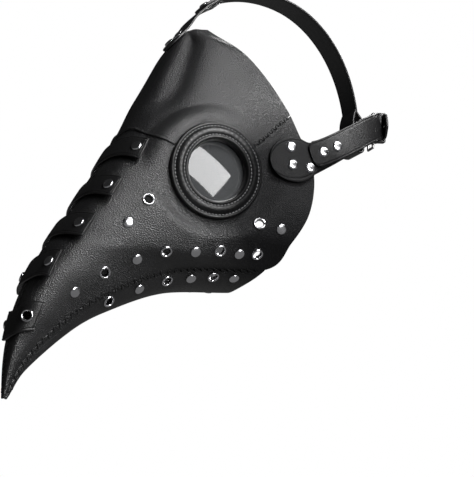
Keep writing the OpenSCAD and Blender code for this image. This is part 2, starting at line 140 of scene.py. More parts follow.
def skin(v, t):
    """Point on the bare skin: v runs down the ribs, t from the right edge (-1) to the left (1)."""
    v, t = np.broadcast_arrays(np.asarray(v, float), np.asarray(t, float))
    s = along(RIBS, v)
    k = np.abs(t)[..., None]
    j = 1 - k
    zero = np.zeros(v.shape)
    mid = np.stack([zero, s[..., 0], s[..., 1]], -1)
    handle = mid + np.stack([s[..., 2], zero, zero], -1)
    p = j**3 * mid + 3 * j * j * k * handle + 3 * j * k * k * s[..., 3:6] + k**3 * s[..., 6:9]
    out = eye_axes()[2]
    flat_x = EYE_X - (out[1] * p[..., 1] + out[2] * p[..., 2]) / out[0]
    w = eye_zone(p)
    p[..., 0] += (flat_x - p[..., 0]) * w
    p[..., 0] *= np.where(t < 0, -1, 1)
    return p


def skin_normal(v, t):
    e = 0.01
    along_v = skin(np.minimum(v + e, LAST), t) - skin(np.maximum(v - e, 0), t)
    along_t = skin(v, np.asarray(t) + e) - skin(v, np.asarray(t) - e)
    return unit(np.cross(along_v, along_t))


def puff(v, t):
    """How far the leather stands off the bare skin: a low ridge and a deeper crease down each side
    of the brow, soft swellings between the bridge straps, and the slow unevenness of real leather."""
    k = np.abs(t)
    brow = smooth(v / 0.7) * smooth((2.9 - v) / 0.9)
    fold = 0.9 * bell(k, 0.17, 0.09) - 3.8 * bell(k, 0.37, 0.11)
    h = brow * fold * np.where(np.asarray(t) < 0, 0.8, 1.0)
    between = np.zeros_like(h)
    for (v0, *_), (v1, *_) in zip(BRIDGE[:-1], BRIDGE[1:]):
        mid, half = (v0 + v1) / 2, (v1 - v0) / 2
        between += 0.8 * smooth(1 - np.abs(v - mid) / half)
    h = h + between * smooth((0.5 - k) / 0.35)
    slow = 0.45 * np.sin(2.3 * v + 5.1 * t) * np.cos(3.7 * v - 8.3 * t + 0.6)
    h = h + slow * smooth((LAST - v) / 3)
    return h * (1 - eye_zone(skin(v, t)))


def over(v, t, h=0.0):
    """Point at height h over the leather's outer face."""
    v, t = np.broadcast_arrays(np.asarray(v, float), np.asarray(t, float))
    return skin(v, t) + (puff(v, t) + h)[..., None] * skin_normal(v, t)


def brow_seam(t):
    """v of the seam between the forehead panel and the side panels."""
    steps = np.abs(t) * (len(BROW) - 1)
    return along(np.array(BROW)[:, None], steps)[..., 0]


def skived(v):
    """Thickness of the leather, which is pared down towards the beak's tip."""
    return LEATHER * (0.35 + 0.65 * smooth((LAST - v) / 2))


def gusset_start(s):
    return CORNER + 0.2 * (1 - s * s)


def gusset(v, s, h=0.0):
    """Point at height h over the gusset, which sags between the jaw seams at s = -1 and 1."""
    v, s = np.broadcast_arrays(np.asarray(v, float), np.asarray(s, float))
    e = 0.02
    edge = along(RIBS, v)[..., 6:9]
    run = along(RIBS, np.minimum(v + e, LAST))[..., 7:9] - along(RIBS, np.maximum(v - e, CORNER))[..., 7:9]
    run = unit(run)
    zero = np.zeros(v.shape)
    down = np.stack([zero, -run[..., 1], run[..., 0]], -1)
    sag = 14 * (1 - np.exp(-edge[..., 0] / 8)) * (1 - 0.3 * smooth(CORNER + 1 - v))
    p = np.stack([edge[..., 0] * s, edge[..., 1], edge[..., 2]], -1) + down * (sag * (1 - s * s))[..., None]
    out = unit(down + np.stack([2 * sag * s / edge[..., 0], zero, zero], -1))
    return p + out * np.asarray(h)[..., None]


# ---- Mesh building ----
# A part is its points and its faces, and a shell also says which faces are inside ones.
def add_mesh(name, part, materials, crease=40.0):
    """Object made from a part. A second material goes on the inside faces."""
    points, faces, *inner = part
    mesh = bpy.data.meshes.new(name)
    mesh.from_pydata([tuple(p) for p in np.asarray(points) * MM], [], faces)
    mesh.validate()
    for material in materials:
        mesh.materials.append(material)
    if len(materials) > 1:
        mesh.polygons.foreach_set("material_index", inner[0])
    mesh.shade_smooth()
    mesh.set_sharp_from_angle(angle=math.radians(crease))
    mesh.update()
    obj = bpy.data.objects.new(name, mesh)
    bpy.context.collection.objects.link(obj)
    return obj


def join_parts(parts):
    points, faces, start = [], [], 0
    for p, f, *_ in parts:
        points.append(np.asarray(p, float))
        faces += [[i + start for i in face] for face in f]
        start += len(p)
    return np.vstack(points), faces


def grid_shell(outer, inner):
    """Closed shell between two grids of points."""
    rows, cols = outer.shape[:2]
    n = rows * cols
    points = np.vstack([outer.reshape(-1, 3), inner.reshape(-1, 3)])
    quads = [[i * cols + j, (i + 1) * cols + j, (i + 1) * cols + j + 1, i * cols + j + 1]
             for i in range(rows - 1) for j in range(cols - 1)]
    under = [[n + k for k in reversed(q)] for q in quads]
    rim = (list(range(cols - 1)) + [i * cols + cols - 1 for i in range(rows - 1)]
           + [(rows - 1) * cols + j for j in range(cols - 1, 0, -1)]
           + [i * cols for i in range(rows - 1, 0, -1)])
    walls = [[rim[k], rim[(k + 1) % len(rim)], n + rim[(k + 1) % len(rim)], n + rim[k]]
             for k in range(len(rim))]
    return points, quads + under + walls, [0] * len(quads) + [1] * len(under) + [0] * len(walls)


EDGE_STEPS = np.array([0.0, 0.12, 0.35, 0.7, 1.2])   # mm from a cut edge, where it rounds off
EDGE_ROUND = EDGE_STEPS[-1]


def spread(count, length):
    """Even steps from 0 to 1 with extra ones near both cut ends. length is in mm."""
    steps = np.linspace(0, 1, count)
    extra = EDGE_STEPS / length
    near = extra[-1] * 1.5
    return np.concatenate([extra, steps[(steps > near) & (steps < 1 - near)], 1 - extra[::-1]])


def rounded(distance, depth=0.55):
    """How far a sheet's face sinks towards a cut edge, at a distance in mm."""
    x = np.clip(1 - distance / EDGE_ROUND, 0, 1)
    return depth * (1 - np.sqrt(1 - x * x))


def tube_faces(rings, sides, ends="capped"):
    """Faces over rings of points. The tube's ends are capped, or joined to each other."""
    faces = []
    for i in range(rings if ends == "joined" else rings - 1):
        here, there = i * sides, (i + 1) % rings * sides
        faces += [[here + k, here + (k + 1) % sides, there + (k + 1) % sides, there + k]
                  for k in range(sides)]
    if ends == "capped":
        faces.append(list(range(sides - 1, -1, -1)))
        faces.append(list(range((rings - 1) * sides, rings * sides)))
    return faces


def lathe(profile, steps, ends="capped"):
    """Surface of revolution about Z through [radius, height] rows."""
    turn = np.linspace(0, 2 * np.pi, steps, endpoint=False)
    ring = np.stack([np.cos(turn), np.sin(turn)], -1)
    points = np.concatenate([np.column_stack([r * ring, np.full(steps, z)]) for r, z in profile])
    return points, tube_faces(len(profile), steps, ends)


def prism(outline, high):
    """Solid between -high and high, over an outline that runs anticlockwise."""
    points = np.array([(x, y, z) for z in (-high, high) for x, y in outline], float)
    return points, tube_faces(2, len(outline))


def stand(part, place, out):
    """Moves a part so that its Z axis runs along out from place."""
    out = unit(out)
    side = unit(np.cross([0, 0, 1], out))
    return part[0] @ np.stack([side, np.cross(out, side), out]) + place, part[1]


def on_side(part, side):
    """The part itself for the left side, or its mirror image for the right."""
    if side > 0:
        return part
    return part[0] * np.array([-1, 1, 1]), [face[::-1] for face in part[1]]


def thread(a, b, out, radius, lift):
    """One stitch from a to b: a plump little tube that dives into the leather at both ends."""
    side = unit(np.cross(unit(b - a), out))
    rings, sides = 6, 6
    points = []
    for x in np.linspace(0, 1, rings):
        swell = math.sqrt(max(0.03, 1 - (2 * x - 1) ** 4))
        centre = a + (b - a) * x + out * (lift * (1 - (2 * x - 1) ** 2) - 0.12)
        for turn in np.linspace(0, 2 * math.pi, sides, endpoint=False):
            points.append(centre + radius * swell * (side * math.cos(turn) + out * math.sin(turn)))
    return np.array(points), tube_faces(rings, sides)


def even_run(path, pitch):
    """Places about pitch apart along a dense path, as fractional indices."""
    gaps = np.linalg.norm(np.diff(path, axis=0), axis=1)
    total = np.concatenate([[0], np.cumsum(gaps)])
    count = max(2, int(round(total[-1] / pitch)))
    return np.interp(np.linspace(0, total[-1], count + 1), total, np.arange(len(path)))


def at(place, path):
    """The point of a path at a fractional index."""
    return np.array([np.interp(place, np.arange(len(path)), path[:, k]) for k in range(3)])


def row_of_stitches(path, outs, pitch, fill, radius):
    """Stitches end to end along a path. fill is a stitch's share of the pitch."""
    places = even_run(path, pitch)
    parts = []
    for s0, s1 in zip(places[:-1], places[1:]):
        s2 = s0 + (s1 - s0) * fill
        parts.append(thread(at(s0, path), at(s2, path), unit(at((s0 + s2) / 2, outs)), radius, 0.3))
    return parts


def zigzag(one_side, other_side, outs, pitch, radius):
    """Stitches that cross a seam from one edge to the other and back."""
    places = even_run((one_side + other_side) / 2, pitch)
    parts = []
    for n, (s0, s1) in enumerate(zip(places[:-1], places[1:])):
        a, b = (one_side, other_side) if n % 2 == 0 else (other_side, one_side)
        parts.append(thread(at(s0, a), at(s1, b), unit(at(s0, outs)), radius, 0.45))
    return parts


# ---- Materials ----
def new_material(name):
    material = bpy.data.materials.new(name)
    material.use_nodes = True
    tree = material.node_tree
    return material, tree, tree.nodes["Principled BSDF"]


def node(tree, kind, **settings):
    made = tree.nodes.new("ShaderNode" + kind)
    for key, value in settings.items():
        if key in made.inputs:
            made.inputs[key].default_value = value
        else:
            setattr(made, key, value)
    return made


def object_place(tree):
    return node(tree, "TexCoord").outputs["Object"]


def texture(tree, where, kind, output="Fac", **settings):
    made = node(tree, "Tex" + kind, **settings)
    tree.links.new(where, made.inputs["Vector"])
    return made.outputs[output]


def calculate(tree, kind, *values, **settings):
    """Result of a maths node. Each value is another node's output, or is set on the node."""
    made = node(tree, kind, **settings)
    for socket, value in zip(made.inputs, values):
        if isinstance(value, bpy.types.NodeSocket):
            tree.links.new(value, socket)
        else:
            socket.default_value = value
    return next(output for output in made.outputs if output.enabled)


def ramp(tree, source, low, high, at=(0.3, 0.7)):
    """Takes a source that runs between the two values of at to low and high."""
    return calculate(tree, "MapRange", source, *at, low, high)


def bump(tree, shader, height, strength, distance):
    made = node(tree, "Bump", Strength=strength, Distance=distance)
    tree.links.new(height, made.inputs["Height"])
    tree.links.new(made.outputs["Normal"], shader.inputs["Normal"])


def blend(tree, shader, amount, one, other):
    """Base colour between two colours."""
    mix = node(tree, "Mix", data_type="RGBA")
    mix.inputs["A"].default_value = (*one, 1)
    mix.inputs["B"].default_value = (*other, 1)
    tree.links.new(amount, mix.inputs["Factor"])
    tree.links.new(mix.outputs["Result"], shader.inputs["Base Color"])


def leather(name, dark, light, rough=(0.31, 0.42), grain=0.8, pores=1050.0, gloss=0.6):
    """Grained faux leather: cells and pores in the bump, patchy gloss, paler worn edges,
    and painted shade: a much weaker gloss round the cheeks, so that the mask's rear looks darker."""
    material, tree, shader = new_material(name)
    where = object_place(tree)
    cells = texture(tree, where, "Voronoi", "Distance", feature="F1", Scale=pores)
    fine = texture(tree, where, "Noise", Scale=pores * 2.3, Detail=3.0)
    patches = texture(tree, where, "Noise", Scale=22.0, Detail=5.0, Roughness=0.6)
    creases = texture(tree, where, "Noise", Scale=95.0, Detail=4.0, Distortion=1.2)
    height = calculate(tree, "Math", fine, 0.45, cells, operation="MULTIPLY_ADD")
    height = calculate(tree, "Math", creases, 0.3, height, operation="MULTIPLY_ADD")
    bump(tree, shader, height, grain, 0.0006)
    tree.links.new(ramp(tree, patches, *rough), shader.inputs["Roughness"])
    worn = ramp(tree, node(tree, "NewGeometry").outputs["Pointiness"], 0.0, 1.0, (0.53, 0.62))
    pale = calculate(tree, "Math", worn, ramp(tree, patches, 0.0, 0.35), operation="MAXIMUM")
    blend(tree, shader, pale, dark, light)
    # Painted shade: the gloss falls to 0.12 of itself within 55 mm of the cheek, so the rear of the mask
    # looks darker.
    flat = calculate(tree, "VectorMath", where, (0, 1, 1), operation="MULTIPLY")
    from_shaded_cheek = calculate(tree, "VectorMath", flat, SHADED_CHEEK, operation="DISTANCE")
    gloss_with_painted_shade = ramp(tree, from_shaded_cheek, 0.12 * gloss, gloss, (0.055, 0.095))
    tree.links.new(gloss_with_painted_shade, shader.inputs["Specular IOR Level"])
    return material


def lining(name):
    """The knitted backing on the leather's inside."""
    material, tree, shader = new_material(name)
    where = object_place(tree)
    knit = texture(tree, where, "Wave", Scale=420.0, Distortion=2.0, Detail=2.0)
    fuzz = texture(tree, where, "Noise", Scale=700.0, Detail=4.0)
    bump(tree, shader, calculate(tree, "Math", knit, fuzz, operation="ADD"), 0.5, 0.0005)
    blend(tree, shader, fuzz, (0.018, 0.018, 0.019), (0.045, 0.045, 0.047))
    shader.inputs["Roughness"].default_value = 0.92
    shader.inputs["Sheen Weight"].default_value = 0.25
    return material


def metal(name, colour, rough):
    """Plated metal with faint scuffs and a little tarnish in its gloss."""
    material, tree, shader = new_material(name)
    where = object_place(tree)
    scuff = texture(tree, where, "Noise", Scale=900.0, Detail=6.0, Roughness=0.7)
    haze = texture(tree, where, "Noise", Scale=120.0, Detail=3.0)
    tree.links.new(ramp(tree, haze, rough * 0.6, rough * 1.8), shader.inputs["Roughness"])
    bump(tree, shader, scuff, 0.05, 0.0002)
    blend(tree, shader, haze, [c * 0.82 for c in colour], colour)
    shader.inputs["Metallic"].default_value = 1.0
    return material


def moulded(name, colour, rough):
    """Finely speckled plastic."""
    material, tree, shader = new_material(name)
    speckle = texture(tree, object_place(tree), "Noise", Scale=1400.0, Detail=3.0)
    bump(tree, shader, speckle, 0.12, 0.0003)
    tree.links.new(ramp(tree, speckle, rough * 0.85, rough * 1.15), shader.inputs["Roughness"])
    shader.inputs["Base Color"].default_value = (*colour, 1)
    return material


def smoked_lens(name):
    """Dark see-through plastic, a little smeared."""
    material, tree, shader = new_material(name)
    smear = texture(tree, object_place(tree), "Noise", Scale=60.0, Detail=4.0)
    tree.links.new(ramp(tree, smear, 0.02, 0.05), shader.inputs["Roughness"])
    shader.inputs["Base Color"].default_value = (0.125, 0.129, 0.133, 1)
    shader.inputs["Transmission Weight"].default_value = 0.72
    shader.inputs["IOR"].default_value = 1.49
    return material


SHADED_CHEEK = (0, 0.075, -0.022)   # middle of the painted shade on the cheek, seen from the side, in metres
PANEL = leather("panel_leather", (0.005, 0.005, 0.0054), (0.016, 0.016, 0.017))
RING = leather("ring_leather", (0.003, 0.003, 0.0032), (0.009, 0.009, 0.0095),
               rough=(0.30, 0.38), grain=0.3, gloss=0.4)
STRAP = leather("strap_leather", (0.004, 0.004, 0.0043), (0.012, 0.012, 0.0125),
                rough=(0.34, 0.44), grain=0.4, pores=1300.0, gloss=0.5)
LINING = lining("knit_lining")
CHROME = metal("rivet_chrome", (0.62, 0.62, 0.64), 0.16)
NICKEL = metal("buckle_nickel", (0.60, 0.59, 0.58), 0.20)
THREAD = leather("waxed_thread", (0.004, 0.004, 0.0043), (0.018, 0.018, 0.019),
                 rough=(0.28, 0.36), grain=0.2)
# Grey thread for the eye rings: partly the thread's own colour, and partly a painted highlight that makes
# the stitches show bright.
GREY_THREAD_AND_SHEEN = leather("ring_thread", (0.10, 0.10, 0.103), (0.24, 0.24, 0.245),
                      rough=(0.40, 0.5), grain=0.2)
PLASTIC = moulded("retainer_plastic", (0.018, 0.018, 0.019), 0.5)
LENS = smoked_lens("lens_smoked")


def cut_holes(obj, cutters):
    """Takes holes through a mesh. Each cutter is a part."""
    tool = add_mesh("hole_tool", join_parts(cutters), [])
    modifier = obj.modifiers.new("holes", "BOOLEAN")
    modifier.operation = "DIFFERENCE"
    modifier.solver = "EXACT"
    modifier.object = tool
    bpy.context.view_layer.objects.active = obj
    bpy.context.view_layer.update()
    done = bpy.data.meshes.new_from_object(obj.evaluated_get(bpy.context.evaluated_depsgraph_get()))
    obj.modifiers.clear()
    old = obj.data
    obj.data = done
    bpy.data.meshes.remove(old)
    bpy.data.objects.remove(tool)
    obj.data.set_sharp_from_angle(angle=math.radians(40))


def piece(name, part, materials, slot, *nodes, cuts=(), crease=40.0, body="mask"):
    """Makes a part into an object, takes the cuts through it one by one, sets its body and hides the CAD
    nodes that it stands for. A cut is a list of cutters. slot is not used."""
    obj = add_mesh(name, part, materials, crease)
    for cutters in cuts:
        cut_holes(obj, cutters)
    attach(obj, body)
    if nodes:
        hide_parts(*nodes)
    return obj


def plug(radius, length=12.0, steps=40):
    """Cylinder to cut a round hole with."""
    return lathe([[radius, -length / 2], [radius, length / 2]], steps)


def eye_place(part, side):
    """Moves a part from the eye's own axes to the left or the right eye."""
    points = part[0] @ np.stack(eye_axes()) + np.array([EYE_X, 0, 0])
    return on_side((points, part[1]), side)


def eye_hole(side):
    return eye_place(plug(SIGHT_R + 2.2, 24, 96), side)


# ---- Panels ----
def panel_grid(high, rows, wide, cols):
    """Places down and across a panel of about high by wide mm, and how far its faces sink
    towards its cut edges."""
    down, across = spread(rows, high), spread(cols, wide)
    sink = (rounded(np.minimum(down, 1 - down) * high)[:, None]
            + rounded(np.minimum(across, 1 - across) * wide))
    return down[:, None], across[None, :], np.minimum(sink, 0.6)


def forehead_panel():
    down, across, sink = panel_grid(130, 70, 220, 110)
    t = -1 + 2 * across
    v = down * (brow_seam(t) - 0.015)
    part = grid_shell(over(v, t, -sink), over(v, t, -LEATHER + sink * 0.5))
    piece("brow_leather", part, [PANEL, LINING], "panel_leather", "forehead_panel",
          cuts=[[eye_hole(1), eye_hole(-1)]])


def side_panel(side):
    down, across, sink = panel_grid(260, 190, 110, 90)
    t = 0.004 + 0.996 * across
    top = brow_seam(t) + 0.015
    v = top + (LAST - top) * down
    outer, under = over(v, t, -sink), over(v, t, -skived(v) + sink * 0.4)
    for grid in (outer, under):
        grid[..., 0] = np.maximum(grid[..., 0], SEAM_GAP / 2)
    holes = [eye_hole(1), tip_bores()[1]] + on_skin(plug(EYELET_HOLE + 0.4), PANEL_EYELETS)
    obj = piece("side_leather_" + SIDES[side], grid_shell(outer, under), [PANEL, LINING],
                "panel_leather", "side_panel_" + SIDES[side], cuts=[holes])
    if side < 0:
        obj.data.transform(Matrix.Scale(-1, 4, (1, 0, 0)))
        obj.data.flip_normals()


def beak_gusset():
    down, across, sink = panel_grid(250, 120, 60, 40)
    s = 1 - 2 * across
    v = gusset_start(s) + (LAST - gusset_start(s)) * down
    slow = 0.5 * np.sin(3.1 * v + 2 * s) * np.cos(2.3 * s)
    slow *= smooth((1 - np.abs(s)) / 0.4) * smooth((LAST - v) / 3)
    outer, under = gusset(v, s, slow - sink), gusset(v, s, slow - skived(v) + sink * 0.4)
    piece("gusset_leather", grid_shell(outer, under), [PANEL, LINING], "panel_leather", "beak_gusset",
          cuts=[on_gusset(plug(EYELET_HOLE + 0.4), GUSSET_EYELETS)])


# ---- Hardware ----
def rivet(grip):
    """Domed cap with a fine turned edge, a shank and a dished washer."""
    reach = np.array([1.0, 0.98, 0.94, 0.88, 0.8, 0.68, 0.52, 0.34, 0.18])
    dome = np.column_stack([CAP_R * reach, 0.5 + 1.4 * np.sqrt(1 - reach**5) - 0.25 * reach**2])
    profile = [[0.05, -grip - 0.8], [2.6, -grip - 0.8], [3.3, -grip - 0.5], [3.3, -grip - 0.1],
               [1.4, -grip], [1.4, 0.05], [CAP_R - 0.4, 0.02], [CAP_R - 0.05, 0.15], [CAP_R + 0.02, 0.35]]
    return lathe(profile + dome.tolist() + [[0.05, 1.9]], 32)


def eyelet(grip):
    """Rolled flange, barrel and the collar on the inside."""
    roll = (EYELET_R - EYELET_HOLE) / 2
    arc = np.radians(np.linspace(-20, 180, 14))
    lip = [[EYELET_HOLE + roll + roll * math.cos(a), 0.1 + 1.35 * math.sin(a)] for a in arc]
    collar = [[EYELET_HOLE, -grip - 0.5], [EYELET_HOLE + 0.5, -grip - 0.9], [EYELET_R - 0.9, -grip - 0.8],
              [EYELET_R - 0.6, -grip - 0.1], [EYELET_HOLE + 0.6, -grip], [EYELET_HOLE + 0.6, 0.0]]
    return lathe(lip + collar, 40, "joined")


def fixings(name, parts, node_name):
    piece(name, join_parts(parts), [CHROME], "rivet_chrome", node_name, crease=55)


CAP_SEAT = 0.15   # how far a cap stands off the strap under it


def on_strap(part, centre, out, top):
    """A fixing on a strap whose outer face is top mm over its centre line."""
    return stand(part, centre + out * (top + CAP_SEAT), out)


def on_skin(part, spots, side=1):
    return [on_side(stand(part, over(v, t), skin_normal(v, t)), side) for v, t in spots]


def on_gusset(part, spots):
    """Fixings on both sides of the gusset."""
    parts = []
    for side in (-1, 1):
        for v, s in spots:
            place = gusset(v, side * s)
            parts.append(stand(part, place, gusset(v, side * s, 1.0) - place))
    return parts


def panel_hardware():
    kinds = (("rivets", rivet(LEATHER), PANEL_RIVETS, GUSSET_RIVETS),
             ("eyelets", eyelet(LEATHER), PANEL_EYELETS, GUSSET_EYELETS))
    for side, word in SIDES.items():
        for kind, part, spots, _ in kinds:
            fixings(f"side_{kind}_{word}", on_skin(part, spots, side), f"panel_{kind}_{word}")
    for kind, part, _, spots in kinds:
        fixings("under_" + kind, on_gusset(part, spots), "gusset_" + kind)


# ---- Eyes ----
# Half section of the padded ring: radius round the lens, and height over the panel.
RING_PROFILE = [
    [42.0, 0.3], [42.4, 1.2], [42.5, 2.5], [42.1, 3.7], [41.4, 4.5], [40.6, 4.8], [39.9, 4.6], [39.3, 4.1],
    [38.7, 3.9], [38.1, 4.3], [37.4, 5.2], [36.4, 6.1], [35.0, 6.8], [33.5, 7.0], [32.3, 6.7], [31.5, 6.1],
    [30.9, 5.8], [30.3, 6.1], [29.6, 6.9], [28.7, 7.2], [27.8, 6.8], [27.1, 5.8], [26.7, 4.2], [26.6, 1.0],
    [26.6, -2.0], [27.9, -2.0], [27.9, 0.3]]
STITCH_ROWS = ((38.7, 4.25), (30.9, 6.15))


def eye_ring(side):
    """The padded roll, drawn in at its two rows of stitches."""
    points, faces = lathe(RING_PROFILE, 220, "joined")
    turn = np.arctan2(points[:, 1], points[:, 0])
    radius = np.hypot(points[:, 0], points[:, 1])
    on_face = points[:, 2] > 3.5
    slack = 0.16 * np.cos(46 * turn) + 0.3 * np.sin(7 * turn + 1) * np.cos(3 * turn)
    puckers = 0.14 * (bell(radius, 37.2, 0.9) + bell(radius, 32.2, 0.8)) * np.cos(84 * turn)
    points[:, 2] += on_face * (bell(radius, 35, 2.5) * slack + puckers)
    roll = piece("eye_roll_" + SIDES[side], eye_place((points, faces), side), [RING], "ring_leather",
                 "eye_ring_" + SIDES[side], crease=60)
    parts = []
    turn = np.linspace(0, 2 * np.pi, 400)
    outs = np.tile([0.0, 0, 1], (400, 1))
    for radius, height in STITCH_ROWS:
        path = np.column_stack([radius * np.cos(turn), radius * np.sin(turn), np.full(400, height)])
        parts += row_of_stitches(path, outs, pitch=3.2, fill=0.7, radius=0.5)
    stitches = eye_place(join_parts(parts), side)
    piece("eye_stitches_" + SIDES[side], stitches, [GREY_THREAD_AND_SHEEN], "ring_leather")


def lens(side):
    """A slightly domed lens, held behind the panel."""
    rim = SIGHT_R + 4
    back = -LEATHER - 2.2
    radii = np.linspace(0.05, 1, 24) * rim
    rear = np.column_stack([radii, back + 3.2 * (1 - (radii / rim) ** 2)])
    front = rear + np.array([0, 2.0])
    part = eye_place(lathe(np.vstack([front, rear[::-1]]), 96), side)
    piece("eye_lens_" + SIDES[side], part, [LENS], "lens_smoked", "lens_" + SIDES[side])


# ---- Straps ----
HALF_W = STRAP_W / 2
GROOVE_AT = 1.9   # mm from a strap's edge to its creased border line
CREASED_EDGE = np.array([0, 0.15, 0.45, 0.9, 1.3, 1.6, 1.9, 2.2, 2.6])   # places in mm from the edge


def across_strap(edge, flat):
    """Places across a strap from -1 to 1: close together by its edges, then even out to flat."""
    return np.concatenate([-1 + edge / HALF_W, np.linspace(-flat, flat, 9), 1 - edge[::-1] / HALF_W])


def strap(frames, halves, low, cut_ends=False):
    """A strap with rounded, creased edges, a little fuller in its middle. frames holds its centres,
    outward and across directions, and the strap lies low mm over the centres."""
    centres, outs, acrosses = frames
    x = across_strap(CREASED_EDGE, 0.7)
    edge = (1 - np.abs(x)) * HALF_W
    lift = 0.25 * (1 - x**2) - rounded(edge) - 0.32 * bell(edge, GROOVE_AT, 0.3)
    lift = np.tile(lift, (len(centres), 1))
    if cut_ends:
        steps = np.linalg.norm(np.diff(centres, axis=0), axis=1)
        run = np.concatenate([[0], np.cumsum(steps)])
        from_end = np.minimum(run, run[-1] - run)[:, None]
        lift -= rounded(from_end) + 0.3 * bell(from_end, GROOVE_AT, 0.3) * (edge > GROOVE_AT)
    lift = np.maximum(lift, -0.6)
    base = centres[:, None, :] + acrosses[:, None, :] * (halves[:, None] * x)[..., None]
    top = base + outs[:, None, :] * (low + STRAP_T + lift)[..., None]
    under = base + outs[:, None, :] * (low - np.minimum(lift, 0) * 0.6)[..., None]
    return grid_shell(top, under)


def bridge_lifted(row, t):
    return FIT + row[4] * (t / row[1]) ** 2


def bridge_frames(row, t):
    """Centre, outward and across directions of a bridge strap, whose ends run parallel to the ridge."""
    def bowed(u):
        return row[0] + row[5] * (u**2 - row[2] ** 2)

    def centre(u):
        return skin(bowed(u), u) + bridge_lifted(row, u)[:, None] * skin_normal(bowed(u), u)

    normal = skin_normal(bowed(t), t)
    ridge = skin(row[0] - 0.05, 0) - skin(row[0] + 0.05, 0)
    across = unit(ridge - normal * (normal @ ridge)[:, None])
    return centre(t), unit(np.cross(centre(t + 0.02) - centre(t - 0.02), across)), across


def tip_bores():
    """Bores for the two eyelets of the lowest strap, the one nearest the tip."""
    spots = bridge_frames(BRIDGE[-1], np.array([-1, 1]) * BRIDGE[-1][2])
    return [stand(plug(EYELET_HOLE + 0.5), place, out) for place, out, _ in zip(*spots)]


def bridge_straps():
    """Rivets hold the upper four straps; the lowest is held by eyelets."""
    fastenings = []
    for k, row in enumerate(BRIDGE):
        _, reach, fixing_t, width, _, _ = row
        lowest = row is BRIDGE[-1]
        ends = CREASED_EDGE / 80
        steps = np.unique(np.concatenate([spread(60, 80), ends, 1 - ends]))
        halves = width / 2 - rounded(np.minimum(steps, 1 - steps) * 48, 1.2)
        part = strap(bridge_frames(row, reach * (2 * steps - 1)), halves, 0, cut_ends=True)
        piece(f"bridge_leather_{k + 1}", part, [STRAP], "strap_leather", f"bridge_strap_{k + 1}",
              cuts=[tip_bores()] if lowest else [])
        grip = STRAP_T + bridge_lifted(row, fixing_t) + LEATHER
        part = eyelet(grip) if lowest else rivet(grip)
        for place, out, _ in zip(*bridge_frames(row, np.array([-fixing_t, fixing_t]))):
            fastenings.append(on_strap(part, place, out, STRAP_T))
    fixings("bridge_fastenings", fastenings, "bridge_strap_rivets")


# ---- Harness ----
BUCKLE_AT = np.array([36.0, 178, 79])   # under the hinge bar, on the strap's route
BUCKLE_TURN = math.radians(155.5)
BUCKLE_TILT = math.radians(14)
BUCKLE_RUN = 34.0   # straight run of strap on each side of the bar
STRAP_H = STRAP_T + 2 * FIT   # how high the back straps lie over the tabs' route
RUN_DIR = np.array([math.cos(BUCKLE_TURN) * math.cos(BUCKLE_TILT),
                    math.sin(BUCKLE_TURN) * math.cos(BUCKLE_TILT), math.sin(BUCKLE_TILT)])
RUN_OUT = unit([RUN_DIR[1], -RUN_DIR[0], 0])
RUN_ACROSS = np.cross(RUN_OUT, RUN_DIR)
BUCKLE_ORIGIN = BUCKLE_AT + RUN_OUT * (STRAP_H + STRAP_T / 2)

# Routes of the harness straps, from the temple to behind the head, as given points.
SIDE = np.array([[68, 49, 11], [72.6, 66, 17], [75, 84, 22], [78.6, 103, 31], [80, 124, 44], [76, 146, 59]])
LEFT = np.vstack([SIDE, BUCKLE_AT - BUCKLE_RUN * RUN_DIR])
MEET = (BUCKLE_AT + BUCKLE_RUN * RUN_DIR) * np.array([-1, 1, 1])
RIGHT = np.vstack([SIDE, [66, 164, 70], [47, 180, 80], [22, 190, 86], MEET])

# The buckle's own sizes. x runs along the strap from the bar, and z away from the head.
BAR_R = 1.25
FOLD_R = 1.3 + STRAP_T
RIM_X = 24.0
TAIL_LOW = -BAR_R - FIT - STRAP_T
OVER_FOLD = FOLD_R + FIT
TAIL_END = -46.0

# The tabs at the temples, and the starts of the back straps that lie on them.
SIDE_PITCH = 17.6   # about the mm of y between the route's first points
PADDLE_R = 21.0
TAB_END = 3.55   # place along the route
TAB_RIVETS = ((70, 29), (67, 12.5), (82, 12))   # y and z
STRAP_START = 2.05   # place along the route where the back straps start
NEAR_START = [0, 0.002, 0.006, 0.012, 0.02, 0.03, 0.045, 0.06, 0.08, 0.1]


def route_frames(route, s):
    """Centre, outward and across directions along a harness route."""
    s = np.asarray(s, float)
    e = 0.05
    run = unit(along(route, np.minimum(s + e, len(route) - 1)) - along(route, np.maximum(s - e, 0)))
    out = unit(np.stack([run[..., 1], -run[..., 0], np.zeros(s.shape)], -1))
    return along(route, s), out, np.cross(out, run)


def buckle_place(part):
    """From the buckle's frame (along the strap, across it, away from the head) to the mask's."""
    return part[0] @ np.stack([RUN_DIR, RUN_ACROSS, RUN_OUT]) + BUCKLE_ORIGIN, part[1]


def chord(d, radius):
    """Half the width of a disc, d mm in from its edge."""
    return np.sqrt(np.maximum(0, radius**2 - (radius - d) ** 2))


def cornered(d, corner):
    """Half the width of a strap d mm from its end, with round corners."""
    return HALF_W - corner + chord(np.minimum(d, corner), corner)


